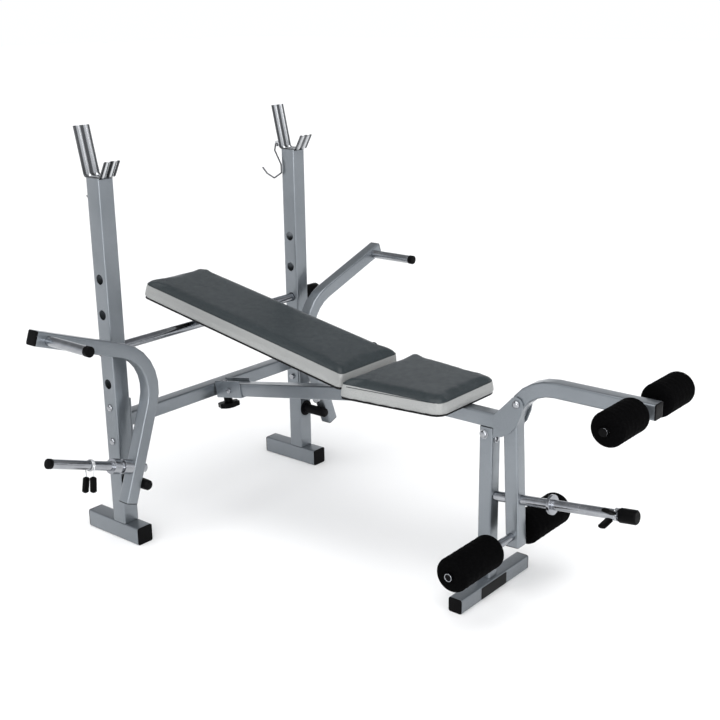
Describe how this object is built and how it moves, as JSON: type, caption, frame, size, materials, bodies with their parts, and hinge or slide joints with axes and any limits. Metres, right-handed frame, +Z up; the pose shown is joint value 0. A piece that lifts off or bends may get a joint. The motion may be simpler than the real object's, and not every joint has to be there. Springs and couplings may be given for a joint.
{
  "type": "adjustable weight bench",
  "caption": "Weight bench with a bar rack on two uprights, a tilting backrest, a seat, a leg lever with foam rollers and swinging butterfly arms with weight pegs.",
  "frame": {"origin": "on the floor, under the middle of the whole bench's bounding box", "axes": "+Z up, +Y towards the head end with the uprights, +X to the right when looking from the foot end to the head end"},
  "size_m": [1.3364, 1.5608, 1.1313],
  "materials": {
    "silver_paint": "semi-gloss metallic silver-grey powder coat",
    "chrome": "bright plating with fine drawn lines",
    "zinc": "zinc plated, satin",
    "black_metal": "black oxide, satin",
    "black_plastic": "moulded black plastic, fine grain",
    "black_foam": "closed-cell foam, matte",
    "black_board": "plywood under black lining cloth",
    "black_vinyl": "black vinyl top with a light grey vinyl band"
  },
  "bodies": {
    "frame": {"upright_left": "silver_paint", "upright_right": "silver_paint", "rear_foot_left": "silver_paint", "rear_foot_right": "silver_paint", "rear_crossbar": "silver_paint", "crossbar_plate_left": "silver_paint", "crossbar_plate_right": "silver_paint", "main_beam": "silver_paint", "beam_bracket": "silver_paint", "front_post": "silver_paint", "front_foot": "silver_paint", "lever_bracket": "silver_paint", "upright_bolt_left_upper": "chrome", "upright_bolt_left_lower": "chrome", "upright_bolt_right_upper": "chrome", "upright_bolt_right_lower": "chrome", "beam_bolt": "chrome", "beam_pin": "chrome", "lever_bolt": "chrome", "backrest_pin": "chrome", "bar_rest_left": "zinc", "bar_rest_right": "zinc", "arm_axle_left": "black_metal", "arm_axle_right": "black_metal", "rear_foot_cap_left_front": "black_plastic", "rear_foot_cap_left_back": "black_plastic", "rear_foot_cap_right_front": "black_plastic", "rear_foot_cap_right_back": "black_plastic", "front_foot_cap_left": "black_plastic", "front_foot_cap_right": "black_plastic", "seat_board": "black_board", "seat_cushion": "black_vinyl"},
    "support_bar": {"support_bar": "chrome", "support_bar_knob": "black_plastic"},
    "backrest": {"backrest_frame": "silver_paint", "backrest_board": "black_board", "backrest_cushion": "black_vinyl"},
    "leg_lever": {"leg_lever": "silver_paint", "upper_roller_bar": "chrome", "lower_roller_bar": "chrome", "lever_peg": "chrome", "lever_peg_cap": "black_plastic"},
    "upper_roller_left": {"upper_roller_left": "black_foam"},
    "upper_roller_right": {"upper_roller_right": "black_foam"},
    "lower_roller_left": {"lower_roller_left": "black_foam"},
    "lower_roller_right": {"lower_roller_right": "black_foam"},
    "lever_clip": {"lever_peg_clip": "zinc"},
    "beam_knob": {"beam_knob": "black_plastic"},
    "arm_left": {"side_arm_left": "silver_paint", "arm_sleeve_left": "black_metal", "arm_handle_left": "chrome", "weight_peg_left": "chrome"},
    "clip_left": {"peg_clip_left": "zinc"},
    "hook_left": {"bar_hook_left": "zinc"},
    "arm_right": {"side_arm_right": "silver_paint", "arm_sleeve_right": "black_metal", "arm_handle_right": "chrome", "weight_peg_right": "chrome"},
    "clip_right": {"peg_clip_right": "zinc"},
    "hook_right": {"bar_hook_right": "zinc"}
  },
  "joints": [
    {"name": "support_bar_slide", "type": "slide", "parent": "frame", "child": "support_bar", "axis": [1, 0, 0], "range_m": [0, 0.74]},
    {"name": "backrest_tilt", "type": "hinge", "parent": "frame", "child": "backrest", "pos_m": [0, 0.0471, 0.47129], "axis": [1, 0, 0], "range_deg": [0, 17.5]},
    {"name": "lever_swing", "type": "hinge", "parent": "frame", "child": "leg_lever", "pos_m": [0, -0.4284, 0.515], "axis": [-1, 0, 0], "range_deg": [0, 95]},
    {"name": "lever_clip_slide", "type": "slide", "parent": "leg_lever", "child": "lever_clip", "axis": [0, 0.9919, -0.1271], "range_m": [0, 0.15]},
    {"name": "beam_knob_turn", "type": "hinge", "parent": "frame", "child": "beam_knob", "pos_m": [0, 0.57141, 0.34692], "axis": [0, 0.1754, 0.9845], "continuous": true},
    {"name": "upper_roller_left_spin", "type": "hinge", "parent": "leg_lever", "child": "upper_roller_left", "pos_m": [-0.115, -0.7404, 0.568], "axis": [1, 0, 0], "continuous": true},
    {"name": "upper_roller_right_spin", "type": "hinge", "parent": "leg_lever", "child": "upper_roller_right", "pos_m": [0.115, -0.7404, 0.568], "axis": [1, 0, 0], "continuous": true},
    {"name": "lower_roller_left_spin", "type": "hinge", "parent": "leg_lever", "child": "lower_roller_left", "pos_m": [-0.193, -0.4229, 0.172], "axis": [1, 0, 0], "continuous": true},
    {"name": "lower_roller_right_spin", "type": "hinge", "parent": "leg_lever", "child": "lower_roller_right", "pos_m": [0.12, -0.4229, 0.172], "axis": [1, 0, 0], "continuous": true},
    {"name": "arm_left_swing", "type": "hinge", "parent": "frame", "child": "arm_left", "pos_m": [-0.364, 0.6166, 0.18], "axis": [0, 1, 0], "range_deg": [0, 45]},
    {"name": "clip_left_slide", "type": "slide", "parent": "arm_left", "child": "clip_left", "axis": [-0.9415, 0, 0.3371], "range_m": [-0.05, 0.11]},
    {"name": "hook_left_swing", "type": "hinge", "parent": "frame", "child": "hook_left", "pos_m": [-0.333, 0.6566, 1.018], "axis": [1, 0, 0], "range_deg": [-25, 60]},
    {"name": "arm_right_swing", "type": "hinge", "parent": "frame", "child": "arm_right", "pos_m": [0.364, 0.6166, 0.18], "axis": [0, -1, 0], "range_deg": [0, 45]},
    {"name": "clip_right_slide", "type": "slide", "parent": "arm_right", "child": "clip_right", "axis": [0.9415, 0, 0.3371], "range_m": [-0.05, 0.11]},
    {"name": "hook_right_swing", "type": "hinge", "parent": "frame", "child": "hook_right", "pos_m": [0.333, 0.6566, 1.018], "axis": [1, 0, 0], "range_deg": [-25, 60]}
  ]
}
